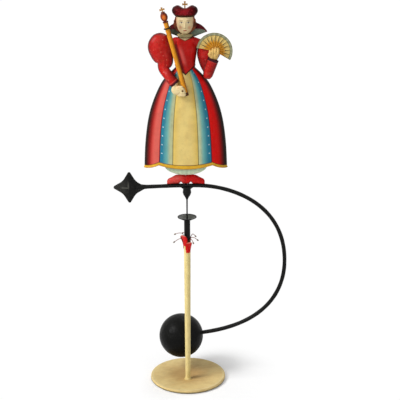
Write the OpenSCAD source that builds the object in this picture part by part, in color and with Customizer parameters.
// Counterweight balancing toy: a painted tin queen stands on an iron arm. The arm balances on a
// needle point in a cup at the top of a post, and sweeps round and down behind the post to a ball.
// Millimetres, +Z up, origin at the middle of the underside of the base, front towards -Y.

/* [Base] */
// Diameter of the round base plate
base_d = 103; // [80:1:140]
// Thickness of the base plate
base_t = 4; // [3:0.5:8]
// Radius of the base plate's rounded upper edge
base_edge = 1.6; // [0.5:0.1:2.5]
// Thickness of the felt pad under the plate
pad_t = 1; // [0.5:0.1:3]
// Distance from the plate's edge in to the pad's edge
pad_inset = 1.5; // [0.5:0.5:6]
// Distance from the plate's centre forward to the post
post_offset = 15; // [0:1:30]

/* [Post] */
// Height of the post above the base plate
post_h = 203; // [185:1:240]
// Diameter of the post at its foot
post_foot_d = 6.9; // [6:0.1:10]
// Diameter of the post at its top
post_top_d = 8.9; // [8.5:0.1:12]
// Diameter of the collar round the post's foot
foot_collar_d = 9.6; // [8.5:0.1:16]
// Height of the collar round the post's foot
foot_collar_h = 1.8; // [1:0.1:4]
// Diameter of the screw that holds the post
screw_d = 3; // [2:0.5:4]
// Diameter of that screw's head
screw_head_d = 5.6; // [5:0.1:8]
// Height of that screw's head
screw_head_h = 1.8; // [1:0.1:2.2]
// Length of the screw inside the post
screw_grip = 11; // [6:1:20]

/* [Flower] */
// Length of a petal from its foot to its tip
petal_len = 16; // [12:0.5:20]
// Greatest width of a petal
petal_w = 9.4; // [7:0.1:10]
// Distance that a petal's tip stands out from the post
petal_flare = 4.5; // [2:0.1:6]
// Thickness of a petal
petal_t = 0.7; // [0.5:0.1:1]
// Diameter of a stamen's wire
stamen_d = 0.9; // [0.6:0.1:1.2]
// Diameter of the bead at a stamen's end
anther_d = 1.9; // [1.2:0.1:2.6]

/* [Cup] */
// Diameter of the stem between post and cup
stem_d = 8.1; // [7:0.1:8.4]
// Height of the stem
stem_h = 27; // [22:1:40]
// Diameter of the spigot that holds the stem in the post
spigot_d = 5; // [3:0.1:5.5]
// Length of that spigot
spigot_len = 12; // [6:1:20]
// Diameter of the stub that holds the cup in the stem
stub_d = 4; // [3:0.1:5]
// Length of that stub
stub_len = 7; // [4:1:12]
// Diameter of the cup's rim
cup_d = 25; // [20:0.5:32]
// Height of the cup's rim above the stem
cup_h = 5.2; // [4:0.1:7]
// Thickness of the cup's rim
rim_t = 0.8; // [0.5:0.1:1.5]
// Height of the bearing's upper face above the stem
seat_h = 1.6; // [1.4:0.1:2.5]
// Diameter of the hard bearing disc in the cup
bearing_d = 6; // [4:0.1:7]
// Thickness of the bearing disc
bearing_t = 1.2; // [0.8:0.1:1.3]

/* [Needle] */
// Diameter of the needle
needle_d = 1.6; // [1:0.1:1.8]
// Diameter of the needle's rounded point
point_d = 2; // [1.9:0.1:3]
// Depth of the dimple in the bearing disc
dimple = 0.4; // [0.2:0.05:0.6]
// Length of the needle inside its boss
needle_grip = 9; // [5:0.5:13]
// Greatest diameter of the boss under the bar
boss_d = 11.3; // [8:0.1:14]
// Length of the boss below the bar
boss_len = 16.3; // [14:0.1:24]

/* [Arm] */
// Height of the bar's axis above the needle's point
bar_rise = 45.6; // [38:0.1:60]
// Diameter of the bar and of the upper end of the arm
arm_d = 5.1; // [4:0.1:6]
// Diameter of the arm where it enters the ball
arm_tip_d = 5.6; // [3:0.1:6.5]
// Length of the level part of the bar to the left of the needle
bar_flat = 12; // [10:0.5:20]
// Length of the level part of the bar to the right of the needle
bar_right = 15; // [10:0.5:25]
// Slope of the bar's left end in degrees
bar_slope = 2.5; // [0:0.1:6]
// Greatest reach of the arm to the right of the needle
arm_reach = 131; // [110:1:160]
// Drop of the arm's outermost point below the bar
arm_belly = 116.5; // [95:0.5:130]

/* [Counterweight] */
// Diameter of the ball
ball_d = 61; // [50:0.5:66]
// Thickness of the hollow ball's wall
ball_wall = 4.72; // [1.5:0.01:6]
// Distance of the ball's centre to the left of the needle
ball_left = 9.6; // [0:0.1:20]
// Drop of the ball's centre below the bar, along the arm's plane
ball_drop = 231.3; // [215:0.1:240]
// Gap between the ball and the back of the post
ball_gap = 0.4; // [0.3:0.1:3]
// Slope in degrees at which the arm enters the ball
entry_slope = 9; // [0:1:20]
// Length of the arm inside the ball
entry_depth = 10; // [6:1:20]

/* [Star finial] */
// Distance from the star's middle to a point
star_reach = 22.4; // [16:0.1:26]
// Distance from the star's middle to a hollow between points
star_hollow = 12.2; // [9:0.1:14]
// Thickness of the star at its middle
star_t = 8; // [7:0.1:14]
// Thickness of the star at its edges
star_edge = 1.2; // [0.8:0.1:3]
// Distance of the star's middle to the left of the needle
star_left = 75; // [65:1:90]
// Depth of the star's socket for the bar
socket_depth = 9; // [5:0.5:12]
// Diameter of the star's neck round the bar
star_neck_d = 6.6; // [6.4:0.1:9]

/* [Figure] */
// Distance of the figure's middle to the left of the needle
figure_left = 1.3; // [0:0.1:3]
// Thickness of the figure's tin
tin = 0.35; // [0.25:0.05:0.8]
// Height of a shoe
shoe_h = 12.3; // [10:0.1:14]
// Length of a shoe from the middle of the figure out to its toe
shoe_len = 24.5; // [20:0.5:32]
// Width of a shoe from front to back
shoe_w = 9; // [7:0.5:14]
// Diameter of the pins that hold the shoes on the bar
foot_pin_d = 2; // [1.2:0.1:2.4]
// Height of the gown's hem above the soles
hem_z = 22.5; // [20:0.5:28]
// Height of the skirt from hem to waist
skirt_h = 130; // [110:1:150]
// Half the skirt's width at the hem
hem_half_w = 53.6; // [44:0.1:60]
// Half the skirt's depth at the hem
hem_half_d = 15; // [12:0.5:20]
// Half the figure's width at the waist
waist_half_w = 12.4; // [11:0.1:14.5]
// Half the figure's depth at the waist
waist_half_d = 8.5; // [7:0.1:9.5]
// Height of the waves in the hem
hem_wave = 5.1; // [0:0.1:6]
// Half the width of the petticoat under the hem
petticoat_half_w = 27; // [20:0.5:34]
// Drop of the petticoat below the hem
petticoat_drop = 10; // [7:0.1:10]
// Height of the bodice from waist to neck
bodice_h = 38; // [34:0.5:46]
// Half the width of the chest
chest_half_w = 16.2; // [14.5:0.1:17.5]
// Half the depth of the chest
chest_half_d = 10; // [8:0.1:11]
// Diameter of the neck
neck_d = 9.2; // [7:0.1:11]
// Diameter of the ruff
ruff_d = 19; // [16:0.5:22]
// Height of the ruff
ruff_h = 3.4; // [2.5:0.1:4]
// Height of the face from chin to crown
face_h = 21.5; // [18:0.5:26]
// Half the width of the face
face_half_w = 10.7; // [9:0.1:12]
// Half the depth of the head
head_half_d = 10.3; // [8:0.1:12]
// Distance that the hair stands out at the sides of the face
hair_out = 3; // [2:0.1:4]
// Height of the crown
crown_h = 13.6; // [10:0.1:18]
// Half the width of the crown
crown_half_w = 16.1; // [13:0.1:18]
// Depth of the dip in the middle of the crown
crown_dip = 4.2; // [0:0.1:5]
// Height of the cross on the crown
cross_h = 8.6; // [5:0.1:10]
// Width of the cross on the crown
cross_w = 6.6; // [4:0.1:8]
// Distance from the collar's middle to its points
collar_reach = 26; // [22:0.5:32]

/* [Arms, fan and sceptre] */
// Greatest half width of a sleeve's puff
puff_half_w = 15.6; // [11:0.1:17]
// Half depth of a sleeve's puff
puff_half_d = 10.6; // [8:0.1:10.8]
// Half width of a cuff
cuff_half_w = 6.2; // [4:0.1:7]
// Radius of the fan
fan_r = 22.6; // [18:0.1:28]
// Angle that the open fan covers
fan_sweep = 200; // [140:5:210]
// Number of the fan's folds
fan_folds = 12; // [8:1:20]
// Height of the fan's folds
fan_fold_h = 0.9; // [0.2:0.1:1]
// Diameter of the sceptre's shaft
sceptre_d = 6; // [4:0.1:7]
// Length of the sceptre's shaft
sceptre_len = 96; // [80:1:110]
// Lean of the sceptre in degrees
sceptre_lean = 15.5; // [10:0.1:18]
// Diameter of the sceptre's bulb
bulb_d = 9; // [7:0.1:11]
// Length of the sceptre's bulb
bulb_len = 11; // [8:0.1:14]
// Diameter of the ring round the sceptre
sceptre_ring_d = 9.2; // [8:0.1:11]
// Distance of that ring from the sceptre's foot
sceptre_ring_at = 87; // [70:0.5:92]
// Width and height of the cross on the sceptre
sceptre_cross_w = 6.4; // [4:0.1:9]
// Thickness of the two crosses
cross_t = 1.6; // [1:0.1:2.5]

/* [Hidden] */
$fn = 48;

// Clearances
fit = 0.05;          // radial clearance of a pin or spigot in its bore
joint = 0.3;         // gap between neighbouring tin pieces
nothing = 0.01;      // how far a cutter runs past a face

// Colours
cream = [0.86, 0.78, 0.55];
black = [0.09, 0.09, 0.09];
red = [0.72, 0.07, 0.08];
skin = [0.9, 0.78, 0.58];
gold = [0.8, 0.57, 0.16];
mint = [0.68, 0.8, 0.72];
maroon = [0.4, 0.05, 0.09];
brown = [0.4, 0.2, 0.1];
steel = [0.6, 0.6, 0.62];

// The ball and the lean of the arm's plane that carries the ball behind the post
ball_r = ball_d / 2;
ball_back = ball_r + ball_gap + post_top_d / 2;
arm_lean = asin(ball_back / ball_drop);
entry_dir = [-cos(entry_slope), sin(entry_slope)];
entry_start = [-ball_left, ball_drop] - entry_dir * (ball_r + 1);
entry_end = [-ball_left, ball_drop] - entry_dir * (ball_r - entry_depth);
arm_sides = 14;
arm_steps = 24;

// Heights of the stand and of the arm. The post is longer where a low ball needs it, to clear the plate
ball_clear = 0.5;
point_rise = seat_h + point_d / 2 - dimple;
post_len = max(post_h, ball_clear + ball_r + ball_drop * cos(arm_lean) - stem_h - point_rise - bar_rise);
plate_top = pad_t + base_t;
post_top = plate_top + post_len;
stem_top = post_top + stem_h;
bearing_top = stem_top + seat_h;
pivot_z = stem_top + point_rise;
bar_z = pivot_z + bar_rise;
sole_z = bar_z + arm_d / 2;

// Heights of the figure above the soles of its shoes
waist_z = hem_z + skirt_h;
neck_z = waist_z + bodice_h;
chin_z = neck_z + ruff_h + joint;
crown_z = chin_z + face_h + joint;
toe_drop = 0.5;      // how far the toes follow the bar down

// The gown's outline: share of the way from waist to hem, and share of the widening there
skirt_form = [[0, 0], [0.1, 0.315], [0.2, 0.515], [0.36, 0.727], [0.53, 0.866], [0.75, 0.957], [1, 1]];
hem_share = cos(50); // place of the hem's highest point, as a share of its half width
hem_middle = 0.09;   // height of the hem's middle, as a share of the waves' height
floor_clear = 2.2;   // height of the petticoat's rim above the hem's highest point
floor_up = hem_wave + floor_clear;
// The bodice's outline: share of the way up, share of chest width, share of chest depth
neck_half = [8, 6];

// Places on the figure that the arms, the fan and the sceptre share
puff_nest = 0.15;    // how far a puff's curve lies in past the widest point of the bodice's
puff_x = chest_half_w + joint + puff_half_w - puff_nest;
puff_y = -2.5;
hand_y = -17.5;
sceptre_foot = [1.8, 119.5];
right_wrist = [-12.6, 134];
left_elbow = [28.2, 143.5];
left_wrist = [35.2, 165.6];
fan_hub = [36.4, 174.8];
fan_y = -(puff_half_d - puff_y + joint + fan_fold_h / 2 + tin / 2);
fan_start = -30;
fan_inner = 2.5;
left_hand_half_d = 4.2;
left_hand_y = fan_y - fan_fold_h / 2 * fan_inner / fan_r - tin / 2 - joint - left_hand_half_d;

// Shape tools: smooth curves, swept rings and plates between two grids of points
function spline(a, b, c, d, t) =
    0.5 * (2 * b + (c - a) * t + (2 * a - 5 * b + 4 * c - d) * t * t + (3 * b - a - 3 * c + d) * t * t * t);
function smooth(p, steps) = concat(
    [for (i = [0 : len(p) - 2]) for (s = [0 : steps - 1])
        spline(p[max(i - 1, 0)], p[i], p[i + 1], p[min(i + 2, len(p) - 1)], s / steps)],
    [p[len(p) - 1]]);
function bezier(a, b, c, d, steps) = [for (i = [1 : steps])
    let (t = i / steps, u = 1 - t) u * u * u * a + 3 * u * u * t * b + 3 * u * t * t * c + t * t * t * d];
function total(v) = [for (x = v) 1] * v;
function unit(v) = v / norm(v);
function signed_volume(p, faces) = total([for (f = faces) p[f[0]] * cross(p[f[1]], p[f[2]])]);
function flat(rows) = [for (row = rows) for (p = row) p];
function quads(i, j, k, l) = [[i, j, k], [i, k, l]];

// A closed solid from triangles, turned so that its faces look outwards
module solid(points, faces) {
    inside_out = signed_volume(points, faces) > 0;
    polyhedron(points, inside_out ? [for (f = faces) [f[0], f[2], f[1]]] : faces, convexity = 8);
}

// A solid swept through a row of closed rings with equal numbers of points
module sweep(rings) {
    m = len(rings[0]);
    last = (len(rings) - 1) * m;
    sides = [for (i = [0 : len(rings) - 2]) for (j = [0 : m - 1])
        for (f = quads(i * m + j, i * m + (j + 1) % m, (i + 1) * m + (j + 1) % m, (i + 1) * m + j)) f];
    caps = [for (j = [1 : m - 2]) each [[0, j + 1, j], [last, last + j, last + j + 1]]];
    solid(flat(rings), concat(sides, caps));
}

// A plate between two grids of points that have equal rows and columns
module plate(a, b) {
    n = len(a);
    m = len(a[0]);
    far = n * m;
    skins = [for (i = [0 : n - 2]) for (j = [0 : m - 2])
        let (p = i * m + j, q = far + p)
        each concat(quads(p, p + 1, p + m + 1, p + m), quads(q, q + m, q + m + 1, q + 1))];
    sides = [for (i = [0 : n - 2]) let (p = i * m, q = p + m - 1)
        each concat(quads(p, p + m, far + p + m, far + p), quads(q + m, q, far + q, far + q + m))];
    ends = [for (j = [0 : m - 2]) let (p = (n - 1) * m + j)
        each concat(quads(j + 1, j, far + j, far + j + 1), quads(p, p + 1, far + p + 1, far + p))];
    solid(concat(flat(a), flat(b)), concat(skins, sides, ends));
}

// A ring of points round a station [x, y, z, half width, half depth] on a path in the XZ plane
function heading(path, i) =
    let (a = path[max(i - 1, 0)], b = path[min(i + 1, len(path) - 1)], t = unit([b[0] - a[0], b[2] - a[2]]))
    [-t[1], 0, t[0]];
function ring_point(s, n, a, in) =
    [s[0], s[1], s[2]] + n * (s[3] - in) * cos(a) + [0, (s[4] - in) * sin(a), 0];
function rings(path, sides) = [for (i = [0 : len(path) - 1]) let (n = heading(path, i))
    [for (j = [0 : sides - 1]) ring_point(path[i], n, j * 360 / sides, 0)]];
function half_grid(path, side, steps, in) = [for (i = [0 : len(path) - 1]) let (n = heading(path, i))
    [for (j = [0 : steps]) ring_point(path[i], n, side * j * 180 / steps, in)]];

// Half of a pressed tin tube along a path: side -1 is the front half and 1 the back half
module half_shell(path, side, steps = 12, wall = tin)
    plate(half_grid(path, side, steps, 0), half_grid(path, side, steps, wall));

// Frames: the plane of the toy, the figure on the bar, and a place along the arm's leaning plane
module in_toy() translate([0, -post_offset, 0]) children();
module in_figure() in_toy() translate([-figure_left, 0, sole_z]) children();
function on_arm(p) = [p[0], p[1] * sin(arm_lean), bar_z - p[1] * cos(arm_lean)];

// The stand
module base_pad() color([0.15, 0.14, 0.13]) cylinder(d = base_d - 2 * pad_inset, h = pad_t);

module base_plate() color(cream) difference() {
    translate([0, 0, pad_t]) rotate_extrude() {
        square([base_d / 2 - base_edge, base_t]);
        square([base_d / 2, base_t - base_edge]);
        translate([base_d / 2 - base_edge, base_t - base_edge]) circle(base_edge);
    }
    in_toy() translate([0, 0, pad_t - nothing]) {
        cylinder(d = screw_d + 2 * fit, h = base_t + 1);
        cylinder(d = screw_head_d + 2 * fit, h = screw_head_h + fit);
    }
}

module base_screw() color(steel) in_toy() translate([0, 0, pad_t]) {
    cylinder(d = screw_head_d, h = screw_head_h);
    cylinder(d = screw_d, h = base_t + screw_grip);
}

module foot_collar() color(cream) in_toy() translate([0, 0, plate_top]) difference() {
    cylinder(d1 = foot_collar_d, d2 = foot_collar_d - 1, h = foot_collar_h);
    translate([0, 0, -nothing]) cylinder(r = post_r(foot_collar_h) + fit, h = foot_collar_h + 1);
}

// Radius of the post at a height above the plate
function post_r(h) = (post_foot_d + (post_top_d - post_foot_d) * h / post_len) / 2;

module post() color(cream) in_toy() translate([0, 0, plate_top]) difference() {
    cylinder(d1 = post_foot_d, d2 = post_top_d, h = post_len);
    translate([0, 0, -nothing]) cylinder(d = screw_d + 2 * fit, h = screw_grip + 1);
    translate([0, 0, post_len - spigot_len - 1]) cylinder(d = spigot_d + 2 * fit, h = spigot_len + 2);
}

// The red flower round the top of the post. Each petal has [angle, drop of its foot below the post's top]
petals = [[-72, 16.8], [-128, 7.4], [86, 14.5], [145, 12.5]];
petal_rows = 8;
petal_cols = 8;
// Half width of a petal at a share of its length, as a share of its greatest half width
function petal_form(t) = t < 0.8 ? 0.62 + 0.38 * sin(t / 0.8 * 90) : sqrt(1 - pow((t - 0.8) / 0.24, 2));
function petal_point(foot, t, side, out) =
    let (z = foot + t * petal_len, r = post_r(min(z, post_len)) + fit + petal_flare * pow(t, 2.5),
         a = side * petal_form(t) * petal_w / 2 / (r + petal_t) * 180 / PI)
    [(r + out) * cos(a), (r + out) * sin(a), z];
function petal_grid(foot, out) = [for (i = [0 : petal_rows])
    [for (j = [0 : petal_cols]) petal_point(foot, i / petal_rows, 2 * j / petal_cols - 1, out)]];

module flower_petals() color(red) in_toy() translate([0, 0, plate_top])
    for (p = petals) let (foot = post_len - p[1])
        rotate(p[0]) plate(petal_grid(foot, 0), petal_grid(foot, petal_t));

// Each stamen has [angle, rise above the post's top, reach from the axis, height of its end there]
stamen_forms = [
    [170, 8.5, 17, 6.5], [187, 2.5, 18, -3], [-4, 8, 11.5, 4.5],
    [-22, 4.2, 15.5, 1], [-40, 2, 11, -3], [118, 7, 14, 5]
];
stamen_sides = 6;
function stamen_path(s) = let (r0 = stem_d / 2 + fit + stamen_d / 2) smooth([
    [r0, 0, 0.6], [r0 + 0.3, 0, s[1] * 0.6], [r0 + 2.4, 0, s[1]],
    [(r0 + 2 + s[2]) / 2, 0, (s[1] + s[3]) / 2 + 1.1], [s[2], 0, s[3]]], 3);
function stamen_r(i, n) = i < n - 3 ? stamen_d / 2 : i < n ? anther_d / 2 : anther_d / 6;
function stamen_rings(path) = let (n = len(path) - 1)
    [for (i = [0 : n]) let (r = stamen_r(i, n), s = [path[i][0], path[i][1], path[i][2], r, r])
        [for (j = [0 : stamen_sides - 1]) ring_point(s, heading(path, i), j * 360 / stamen_sides, 0)]];

module stamens() color(brown) in_toy() translate([0, 0, post_top])
    for (s = stamen_forms) rotate(s[0]) sweep(stamen_rings(stamen_path(s)));

module cup_stem() color(black) in_toy() translate([0, 0, post_top]) difference() {
    union() {
        cylinder(d = stem_d, h = stem_h);
        translate([0, 0, -spigot_len]) cylinder(d = spigot_d, h = spigot_len + 1);
    }
    translate([0, 0, stem_h - stub_len - 1]) cylinder(d = stub_d + 2 * fit, h = stub_len + 2);
}

module pivot_cup() color(black) in_toy() translate([0, 0, stem_top]) rotate_extrude() polygon([
    [0, -stub_len], [stub_d / 2, -stub_len], [stub_d / 2, 0], [stem_d / 2, 0],
    [cup_d / 2, cup_h - rim_t], [cup_d / 2, cup_h], [cup_d / 2 - rim_t, cup_h],
    [bearing_d / 2 + fit, seat_h], [bearing_d / 2 + fit, seat_h - bearing_t], [0, seat_h - bearing_t]]);

// The bearing: a hard disc in the cup, and the needle's rounded point in the disc's dimple
module bearing_disc() color(steel) in_toy() difference() {
    translate([0, 0, bearing_top - bearing_t]) cylinder(d = bearing_d, h = bearing_t);
    translate([0, 0, pivot_z]) sphere(d = point_d + 2 * fit);
}

module needle_point() color(steel) in_toy() translate([0, 0, pivot_z]) sphere(d = point_d);

// The balance: needle, boss, arm, star and ball
boss_tip_z = bar_z - arm_d / 2 - boss_len;
boss_tip_d = needle_d + 1;
boss_top_r = boss_d / 2 - 0.9;
boss_weld = 3;       // reach of the weld that runs out along the bar from the boss
boss_weld_h = 2;     // height of that weld

module needle() color(steel) in_toy() difference() {
    translate([0, 0, pivot_z]) cylinder(d = needle_d, h = boss_tip_z + needle_grip - pivot_z);
    translate([0, 0, pivot_z]) sphere(d = point_d + 2 * fit);
}

module needle_boss() color(black) in_toy() difference() {
    union() {
        translate([0, 0, boss_tip_z]) rotate_extrude() polygon([
            [0, 0], [boss_tip_d / 2, 0], [boss_tip_d / 2 + 0.5, 1.6],
            [boss_top_r, 6.6], [boss_d / 2, 9.6],
            [boss_d / 2 - 0.5, 12.6], [boss_top_r, boss_len + 1], [0, boss_len + 1]]);
        translate([0, arm_d / 4, boss_tip_z + boss_len]) rotate([90, 0, 0]) linear_extrude(arm_d / 2)
            polygon([[-boss_top_r - boss_weld, 1], [-boss_top_r - boss_weld, 0], [-boss_top_r, -boss_weld_h],
                [boss_top_r, -boss_weld_h], [boss_top_r + boss_weld, 0], [boss_top_r + boss_weld, 1]]);
    }
    translate([-boss_d, 0, bar_z]) rotate([0, 90, 0]) cylinder(d = arm_d + 2 * fit, h = 2 * boss_d);
    translate([0, 0, boss_tip_z - nothing]) cylinder(d = needle_d + 2 * fit, h = needle_grip + 1);
}

// The arm's centre line as [x, drop along the leaning plane], from the star round to the ball
function bar_drop(x) = x < -bar_flat ? -(x + bar_flat) * tan(bar_slope) : 0;
bar_end = -star_left + star_reach - socket_depth;
upper_handles = [36, 94.5];
lower_handles = [38, 92.5];
arm_line = concat(
    [for (x = [bar_end, -(bar_flat - bar_end) / 2, -bar_flat, 0]) [x, bar_drop(x)]],
    [[bar_right, 0]],
    bezier([bar_right, 0], [bar_right + upper_handles[0], 0],
        [arm_reach, arm_belly - upper_handles[1]], [arm_reach, arm_belly], arm_steps),
    bezier([arm_reach, arm_belly], [arm_reach, arm_belly + lower_handles[0]],
        entry_start - entry_dir * lower_handles[1], entry_start, arm_steps),
    [entry_end]);
bar_points = 5;
function arm_r(i) = (i < bar_points ? arm_d
    : arm_d + (arm_tip_d - arm_d) * min(1, (i - bar_points + 1) / (2 * arm_steps))) / 2;
function arm_ring(i) =
    let (n = len(arm_line) - 1, t = unit(arm_line[min(i + 1, n)] - arm_line[max(i - 1, 0)]),
         across = on_arm([-t[1], t[0]]) - on_arm([0, 0]), out = [0, cos(arm_lean), sin(arm_lean)])
    [for (j = [0 : arm_sides - 1]) let (a = j * 360 / arm_sides)
        on_arm(arm_line[i]) + arm_r(i) * (cos(a) * across + sin(a) * out)];

foot_pin_at = 2.4;   // distance of a foot pin from the figure's middle

module foot_pin_places() for (side = [-1, 1]) translate([side * foot_pin_at - figure_left, 0, 0]) children();

module balance_arm() color(black) in_toy() difference() {
    sweep([for (i = [0 : len(arm_line) - 1]) arm_ring(i)]);
    foot_pin_places() translate([0, 0, bar_z]) cylinder(d = foot_pin_d + 2 * fit, h = arm_d);
}

// A quarter of the star runs straight from a point to a hollow and on to the next point
star_corners = 8;
star_turn = -3;      // turn of the star's points against the bar
star_steps = 3;
star_rings = [[0.05, -0.5], [0.5, -0.25], [1, 0], [1, 0], [0.5, 0.25], [0.05, 0.5]];
function star_corner(k) = let (a = k * 45 + star_turn)
    (k % 2 == 0 ? star_reach : star_hollow) * [cos(a), sin(a)];
star_outline = [for (k = [0 : star_corners - 1]) for (i = [0 : star_steps - 1])
    star_corner(k) + (star_corner(k + 1) - star_corner(k)) * i / star_steps];
function star_y(k) = (star_t - star_edge) * star_rings[k][1] + (k < 3 ? -1 : 1) * star_edge / 2;
star_neck_at = star_hollow;
star_neck_flare = 1;

module star_finial() color(black) in_toy()
    translate(on_arm([-star_left, bar_drop(-star_left)])) rotate([arm_lean, 0, 0])
    rotate([0, -bar_slope, 0]) difference() {
        union() {
            sweep([for (k = [0 : len(star_rings) - 1]) [for (q = star_outline)
                [q[0] * star_rings[k][0], star_y(k), q[1] * star_rings[k][0]]]]);
            translate([star_neck_at, 0, 0]) rotate([0, 90, 0])
                cylinder(d1 = star_neck_d + star_neck_flare, d2 = star_neck_d,
                    h = star_reach - star_neck_at);
        }
        translate([star_reach - socket_depth - fit, 0, 0]) rotate([0, 90, 0])
            cylinder(d = arm_d + 2 * fit, h = socket_depth + 1);
    }

// The hollow ball is turned about the line on which the arm enters it
module ball_section() difference() {
    circle(r = ball_r);
    circle(r = ball_r - ball_wall);
    translate([-ball_d, -ball_d]) square([ball_d, 2 * ball_d]);
    square([arm_tip_d / 2 + fit, ball_d]);
}

module counterweight_ball() color(black) in_toy() translate(on_arm([-ball_left, ball_drop]))
    rotate([arm_lean, 0, 0]) rotate([0, 90 - entry_slope, 0]) rotate_extrude() ball_section();

// The figure's feet and gown
module foot_pins() color(steel) in_toy() foot_pin_places() translate([0, 0, bar_z])
    cylinder(d = foot_pin_d, h = arm_d / 2 + shoe_h / 2);

// A shoe's form: share of its length, sole above the bar, top as a share of its height, share of its width
shoe_form = [
    [0.006, 0, 0.93, 0.8], [0.08, 0, 0.98, 0.96], [0.16, 0.2, 1, 1], [0.26, 2.5, 1, 1],
    [0.37, 0.2, 1, 1], [0.55, 0, 0.94, 0.97], [0.75, -toe_drop / 2, 0.72, 0.9],
    [0.93, -toe_drop, 0.54, 0.7], [1, -toe_drop, 0.34, 0.45]
];
shoe_sides = 14;
function shoe_ring(s, side) = let (top = s[2] * shoe_h, mid = (top + s[1]) / 2)
    [for (j = [0 : shoe_sides - 1]) let (a = (j + 0.5) * 360 / shoe_sides)
        [side * s[0] * shoe_len, s[3] * shoe_w / 2 * cos(a), mid + (top - s[1]) / 2 * sin(a)]];

module shoe(side) color(red) difference() {
    in_figure() sweep([for (s = smooth(shoe_form, 2)) shoe_ring(s, side)]);
    in_toy() {
        foot_pin_places() translate([0, 0, bar_z])
            cylinder(d = foot_pin_d + 2 * fit, h = arm_d / 2 + shoe_h / 2 + fit);
        translate([-2 * shoe_len, 0, bar_z]) rotate([0, 90, 0])
            cylinder(d = arm_d + 2 * fit, h = 4 * shoe_len);
    }
}
module right_shoe() shoe(-1);
module left_shoe() shoe(1);

function skirt_station(s) = [0, 0, waist_z - s[0] * skirt_h,
    waist_half_w + (hem_half_w - waist_half_w) * s[1], waist_half_d + (hem_half_d - waist_half_d) * s[1]];
skirt_path = smooth([for (s = skirt_form) skirt_station(s)], 3);
function skirt_at(z) = [0, 0, z,
    lookup(z, [for (s = skirt_path) [s[2], s[3]]]), lookup(z, [for (s = skirt_path) [s[2], s[4]]])];
// The hem's waves, which fade out up the skirt: a bowl in the middle and a scallop on each side
function hem_lift(f) = f < hem_share ? hem_middle + (1 - hem_middle) * pow(f / hem_share, 2)
    : pow((1 - f) / (1 - hem_share), 2);
function waved(p) = let (low = max(0, 1 - (p[2] - hem_z) / (skirt_h * 0.2)))
    [p[0], p[1], p[2] + low * low * hem_wave * hem_lift(min(1, abs(p[0]) / hem_half_w))];
function waved_grid(grid) = [for (row = grid) [for (p = row) waved(p)]];
skirt_steps = 18;

function skirt_grid(side, in) = waved_grid(half_grid(skirt_path, side, skirt_steps, in));

module skirt(side) in_figure() plate(skirt_grid(side, 0), skirt_grid(side, tin));
module skirt_front() color(cream) skirt(-1);
module skirt_back() color(red) skirt(1);

// The petticoat closes the skirt from below: a rim inside the skirt and a bowl that hangs below the hem
petticoat_sides = 28;
floor_z = hem_z + floor_up;
// The bowl's form: share of its width, share of its drop
bowl_form = [[0.12, 1], [0.42, 0.93], [0.72, 0.66], [0.93, 0.28], [1, -0.1]];
petticoat_set_in = 3.5;
petticoat_half_d = hem_half_d - petticoat_set_in;
function bowl(in) = [for (s = bowl_form) [0, 0, hem_z - petticoat_drop * s[1] + in,
    petticoat_half_w * s[0] - in, petticoat_half_d * s[0] - in]];
function inset(s, by) = [s[0], s[1], s[2], s[3] - by, s[4] - by];
function ellipse(s) = [for (j = [0 : petticoat_sides - 1])
    ring_point(s, [1, 0, 0], j * 360 / petticoat_sides, 0)];
floor_rim = inset(skirt_at(floor_z), tin + joint);
function at_z(s, z) = [s[0], s[1], z, s[3], s[4]];
petticoat_rings = concat(
    [for (s = bowl(tin)) ellipse(s)],
    [ellipse(at_z(bowl(tin)[4], floor_z + tin)), ellipse(at_z(floor_rim, floor_z + tin))],
    [ellipse(floor_rim), ellipse(at_z(bowl(0)[4], floor_z))],
    [for (k = [4 : -1 : 0]) ellipse(bowl(0)[k])]);

module petticoat() color(mint) in_figure() sweep(petticoat_rings);

// The bodice: share of the way from waist to neck, half width and half depth there
bodice_path = smooth([
    [0, 0, waist_z, waist_half_w, waist_half_d],
    [0, 0, waist_z + bodice_h * 0.2, chest_half_w * 0.8, chest_half_d * 0.9],
    [0, 0, waist_z + bodice_h * 0.53, chest_half_w * 0.92, chest_half_d],
    [0, 0, waist_z + bodice_h * 0.78, chest_half_w, chest_half_d * 0.95],
    [0, 0, waist_z + bodice_h * 0.92, chest_half_w * 0.97, chest_half_d * 0.8],
    [0, 0, neck_z, neck_half[0], neck_half[1]]], 2);

module bodice_front() color(red) in_figure() half_shell(bodice_path, -1, 14);
module bodice_back() color(red) in_figure() half_shell(bodice_path, 1, 14);

// The sleeves and hands
shoulder_z = neck_z + 4;
right_sleeve_path = smooth([
    [-puff_x + 2, puff_y + 1, shoulder_z + 0.7, 6.2, 4.4],
    [-puff_x + 1.3, puff_y + 0.5, shoulder_z - 3.4, puff_half_w * 0.64, puff_half_d * 0.78],
    [-puff_x + 0.5, puff_y, shoulder_z - 14, puff_half_w * 0.97, puff_half_d],
    [-puff_x + 2.7, puff_y, shoulder_z - 24, puff_half_w * 0.91, puff_half_d * 0.95],
    [-puff_x + 6.3, puff_y - 0.5, shoulder_z - 34.5, puff_half_w * 0.68, puff_half_d * 0.74],
    [-puff_x + 5.3, puff_y - 2.5, shoulder_z - 43, 7, 6.6],
    [right_wrist[0] - 8.4, hand_y + 5.5, right_wrist[1] + 10, 6.4, 5.6],
    [right_wrist[0], hand_y + 2, right_wrist[1], cuff_half_w, 4.6]], 2);

module right_sleeve_front() color(red) in_figure() half_shell(right_sleeve_path, -1);
module right_sleeve_back() color(red) in_figure() half_shell(right_sleeve_path, 1);

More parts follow.
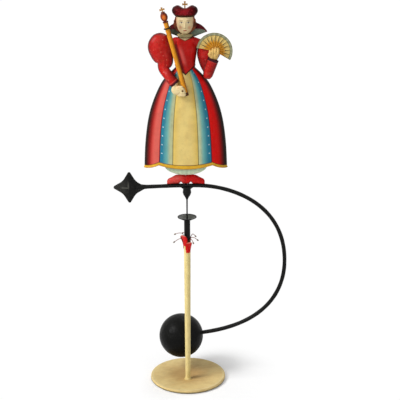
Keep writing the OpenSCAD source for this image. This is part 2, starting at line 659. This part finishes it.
// A fist that goes on from a cuff: share of its length, share of its width
fist_form = [[0, 0.62], [0.16, 0.66], [0.36, 0.9], [0.62, 1], [0.84, 0.86], [0.97, 0.5], [1, 0.2]];
function fist_path(from, along, y0, y1, len, half_w, half_d) = smooth([for (s = fist_form)
    [from[0] + along[0] * len * s[0], y0 + (y1 - y0) * s[0], from[1] + along[1] * len * s[0],
        half_w * s[1], half_d * s[1]]], 2);
fist_sides = 14;
right_along = unit([0.68, -0.73]);
right_hand_start = right_wrist + right_along * (joint + 0.7);
right_hand_path = fist_path(right_hand_start, right_along, hand_y + 1.6, hand_y, 16.5, 6.2, 4.6);

module right_hand() color(skin) in_figure() difference() {
    sweep(rings(right_hand_path, fist_sides));
    in_sceptre() translate([0, 0, -sceptre_len / 2]) cylinder(d = sceptre_d + 2 * fit, h = sceptre_len);
}

elbow_y = puff_y + 1.5;
elbow_half_d = 5.2;
elbow_round = 0.6;   // how far the two round elbows lie into each other's hollow side
left_sleeve_path = smooth([
    [puff_x - 5.4, puff_y + 1, shoulder_z - 1.7, 4.5, 4],
    [puff_x - 3.2, puff_y + 0.5, shoulder_z - 6.3, puff_half_w * 0.74, puff_half_d * 0.8],
    [puff_x - 0.6, puff_y, shoulder_z - 14, puff_half_w * 0.96, puff_half_d],
    [puff_x - 3.6, puff_y + 0.5, shoulder_z - 27, puff_half_w * 0.88, puff_half_d * 0.86],
    [puff_x - 4.7, elbow_y - 0.5, shoulder_z - 36, puff_half_w * 0.63, puff_half_d * 0.56],
    [left_elbow[0], elbow_y, left_elbow[1] + 6, 6.6, elbow_half_d],
    [left_elbow[0] + 0.6, elbow_y, left_elbow[1] + 2, 5, 4.4]], 2);
forearm_y = elbow_y - 2 * elbow_half_d - joint + elbow_round;
left_forearm_path = smooth([
    [left_elbow[0] - 0.8, forearm_y, left_elbow[1] - 3.6, 3.6, 3],
    [left_elbow[0], forearm_y, left_elbow[1] + 0.4, 6, elbow_half_d],
    [left_elbow[0] + 2.9, forearm_y - 1.6, left_elbow[1] + 10.5, 7, 5],
    [left_wrist[0], left_hand_y + 0.6, left_wrist[1], cuff_half_w + 0.8, 4.4]], 3);

module left_sleeve_front() color(red) in_figure() half_shell(left_sleeve_path, -1);
module left_sleeve_back() color(red) in_figure() half_shell(left_sleeve_path, 1);
module left_forearm_front() color(red) in_figure() half_shell(left_forearm_path, -1);
module left_forearm_back() color(red) in_figure() half_shell(left_forearm_path, 1);

left_along = unit([0.12, 1]);
left_hand_start = left_wrist + left_along * (joint + 1.4);
left_hand_path =
    fist_path(left_hand_start, left_along, left_hand_y, left_hand_y, 12.6, 7, left_hand_half_d);

module left_hand() color(skin) in_figure() sweep(rings(left_hand_path, fist_sides));

// The fan: a folded sheet between two radii
function fan_point(r, j, y) = let (a = fan_start + fan_sweep * j / (2 * fan_folds))
    [fan_hub[0] + r * cos(a), fan_y + y + (j % 2 - 0.5) * fan_fold_h * r / fan_r, fan_hub[1] + r * sin(a)];
fan_radii = [fan_inner, (fan_inner + fan_r) / 2, fan_r];
function fan_grid(y) = [for (r = fan_radii) [for (j = [0 : 2 * fan_folds]) fan_point(r, j, y)]];

module fan() color(cream) in_figure() plate(fan_grid(-tin / 2), fan_grid(tin / 2));

// The sceptre, measured along its own axis from its foot
module in_sceptre() translate([sceptre_foot[0], hand_y, sceptre_foot[1]])
    rotate([0, -sceptre_lean, 0]) children();
ring_wire = (sceptre_ring_d - sceptre_d) / 2 - fit;

module sceptre_shaft() color(gold) in_figure() in_sceptre() difference() {
    cylinder(d = sceptre_d, h = sceptre_len);
    translate([0, 0, tin]) cylinder(d = sceptre_d - 2 * tin, h = sceptre_len - 2 * tin);
}
module sceptre_ring() color(black) in_figure() in_sceptre() translate([0, 0, sceptre_ring_at])
    rotate_extrude() translate([sceptre_d / 2 + fit + ring_wire / 2, 0]) circle(d = ring_wire);

// The bulb is a ball drawn out along the shaft, cut flat at both ends
bulb_cut = 70;
bulb_outline = [for (a = [-bulb_cut : 10 : bulb_cut])
    [bulb_d / 2 * cos(a), bulb_len / 2 * (1 + sin(a) / sin(bulb_cut))]];

module sceptre_bulb() color(red) in_figure() in_sceptre() translate([0, 0, sceptre_len])
    rotate_extrude() polygon(concat([[0, 0]], bulb_outline, [[0, bulb_len]]));

// A cross with widening arms, standing on a stalk
function cross_outline(w, h) = let (n = w * 0.12, e = w * 0.2, m = h * 0.56) concat(
    [[n, 0], [n, m - n], [w / 2, m - e], [w / 2, m + e], [n, m + n], [e, h]],
    [[-e, h], [-n, m + n], [-w / 2, m + e], [-w / 2, m - e], [-n, m - n], [-n, 0]]);
module cross_plate(w, h) rotate([90, 0, 0]) translate([0, 0, -cross_t / 2])
    linear_extrude(cross_t) polygon(cross_outline(w, h));

module sceptre_cross() color(gold) in_figure() in_sceptre() translate([0, 0, sceptre_len + bulb_len])
    cross_plate(sceptre_cross_w, sceptre_cross_w);

// The neck, ruff and collar
neck_low = 2.5;
neck_len = chin_z - neck_z + neck_low - joint / 2;
module neck() color(skin) in_figure() translate([0, 0, neck_z - neck_low]) difference() {
    cylinder(d = neck_d, h = neck_len);
    translate([0, 0, -nothing]) cylinder(d = neck_d - 2 * tin, h = neck_len - tin);
}
module ruff() color([0.8, 0.8, 0.74]) in_figure() translate([0, 0, neck_z]) difference() {
    union() {
        cylinder(d1 = ruff_d - 3, d2 = ruff_d, h = ruff_h * 0.6);
        translate([0, 0, ruff_h * 0.6]) cylinder(d1 = ruff_d, d2 = ruff_d - 3, h = ruff_h * 0.4);
    }
    translate([0, 0, -1]) cylinder(d = neck_d + 2 * fit, h = ruff_h + 2);
}

// The collar: a curved sheet that stands behind the head, with two points that spread to the sides
collar_cols = 16;
collar_low = 7;      // how far the collar's foot lies below the top of the bodice
collar_rise = 12.3;  // height of the collar's middle above the chin
collar_tip = 3.2;    // height of the collar's points above the chin
collar_tip_w = 1;    // width of a point
collar_flare = 4;    // how far the upper edge bulges up on its way out to the points
collar_bow = 7.5;    // how far the points come forward
collar_stand = 0.5;  // distance of the collar from the bodice's back
collar_right = 1.6;  // distance of the collar's middle to the right of the figure's
collar_back = chest_half_d * 0.95 + joint + collar_stand;
function collar_up(u) = chin_z + collar_tip
    + (collar_rise - collar_tip + collar_flare) * (1 - pow(abs(u), 3)) - collar_flare * (1 - abs(u));
function collar_down(u) = let (foot = neck_z - collar_low)
    foot + (chin_z + collar_tip - collar_tip_w - foot) * pow(abs(u), 0.8);
function collar_y(u) = collar_back - collar_bow * pow(abs(u), 1.5);
function collar_point(u, v, y) =
    [collar_right + u * collar_reach, collar_y(u) + y, collar_down(u) + (collar_up(u) - collar_down(u)) * v];
function collar_grid(y) = [for (v = [0 : 0.25 : 1])
    [for (j = [0 : collar_cols]) collar_point(2 * j / collar_cols - 1, v, y)]];

module collar() color(maroon) in_figure() plate(collar_grid(0), collar_grid(tin));

// The head and crown
face_path = smooth([
    [0, 0, chin_z, face_half_w * 0.33, head_half_d * 0.54],
    [0, 0, chin_z + face_h * 0.18, face_half_w * 0.68, head_half_d * 0.84],
    [0, 0, chin_z + face_h * 0.45, face_half_w * 0.93, head_half_d],
    [0, 0, chin_z + face_h * 0.75, face_half_w, head_half_d],
    [0, 0, chin_z + face_h, face_half_w * 0.97, head_half_d * 0.9]], 3);
module face() color(skin) in_figure() half_shell(face_path, -1, 14);

// The hair: a thick half shell whose rim meets the face's rim
hair_form = [[0, 0.3, 0.5], [0.3, 0.95, 0.8], [0.65, 1, 0.82], [1, 0.35, 0.76]];
hair_t = 1;          // thickness of the hair at the back of the head
function face_at(z) = lookup(z, [for (p = face_path) [p[2], p[3]]]);
function hair_station(s, in) = let (z = chin_z + s[0] * face_h) [0, 0, z,
    face_at(z) - tin + (1 - in) * (tin + s[1] * hair_out), s[2] * head_half_d - in * hair_t];
function hair_path(in) = smooth([for (s = hair_form) hair_station(s, in)], 3);

module hair() color(brown) in_figure()
    plate(half_grid(hair_path(0), 1, 12, 0), half_grid(hair_path(1), 1, 12, 0));

// The crown: share of its height, share of its half width, half depth, and share of the dip
crown_half_d = head_half_d + 0.6;
crown_form = [
    [0, 0.73, 0.9, 0], [0.28, 0.94, 0.98, 0], [0.54, 1, 1, 0.15], [0.82, 0.9, 0.86, 0.75],
    [0.97, 0.66, 0.6, 1], [0.99, 0.4, 0.3, 1], [1, 0.1, 0.08, 1]
];
function crown_station(s) =
    [0, 0, crown_z + s[0] * crown_h, s[1] * crown_half_w, s[2] * crown_half_d, s[3]];
crown_path = smooth([for (s = crown_form) crown_station(s)], 2);
function dip(x) = crown_dip * pow(cos(min(90, abs(x) / crown_half_w * 150)), 2);
function dipped(grid) = [for (i = [0 : len(grid) - 1])
    [for (p = grid[i]) [p[0], p[1], p[2] - crown_path[i][5] * dip(p[0])]]];

module crown(side) color(maroon) in_figure()
    plate(dipped(half_grid(crown_path, side, 14, 0)), dipped(half_grid(crown_path, side, 14, tin)));
module crown_front() crown(-1);
module crown_back() crown(1);
module crown_cross() color(gold) in_figure() translate([0, 0, crown_z + crown_h - crown_dip + joint])
    cross_plate(cross_w, cross_h);

base_pad();
base_plate();
base_screw();
foot_collar();
post();
flower_petals();
stamens();
cup_stem();
pivot_cup();
bearing_disc();
needle_point();
needle();
needle_boss();
balance_arm();
star_finial();
counterweight_ball();
foot_pins();
right_shoe();
left_shoe();
petticoat();
skirt_front();
skirt_back();
bodice_front();
bodice_back();
right_sleeve_front();
right_sleeve_back();
right_hand();
left_sleeve_front();
left_sleeve_back();
left_forearm_front();
left_forearm_back();
left_hand();
fan();
sceptre_shaft();
sceptre_ring();
sceptre_bulb();
sceptre_cross();
neck();
ruff();
collar();
face();
hair();
crown_front();
crown_back();
crown_cross();
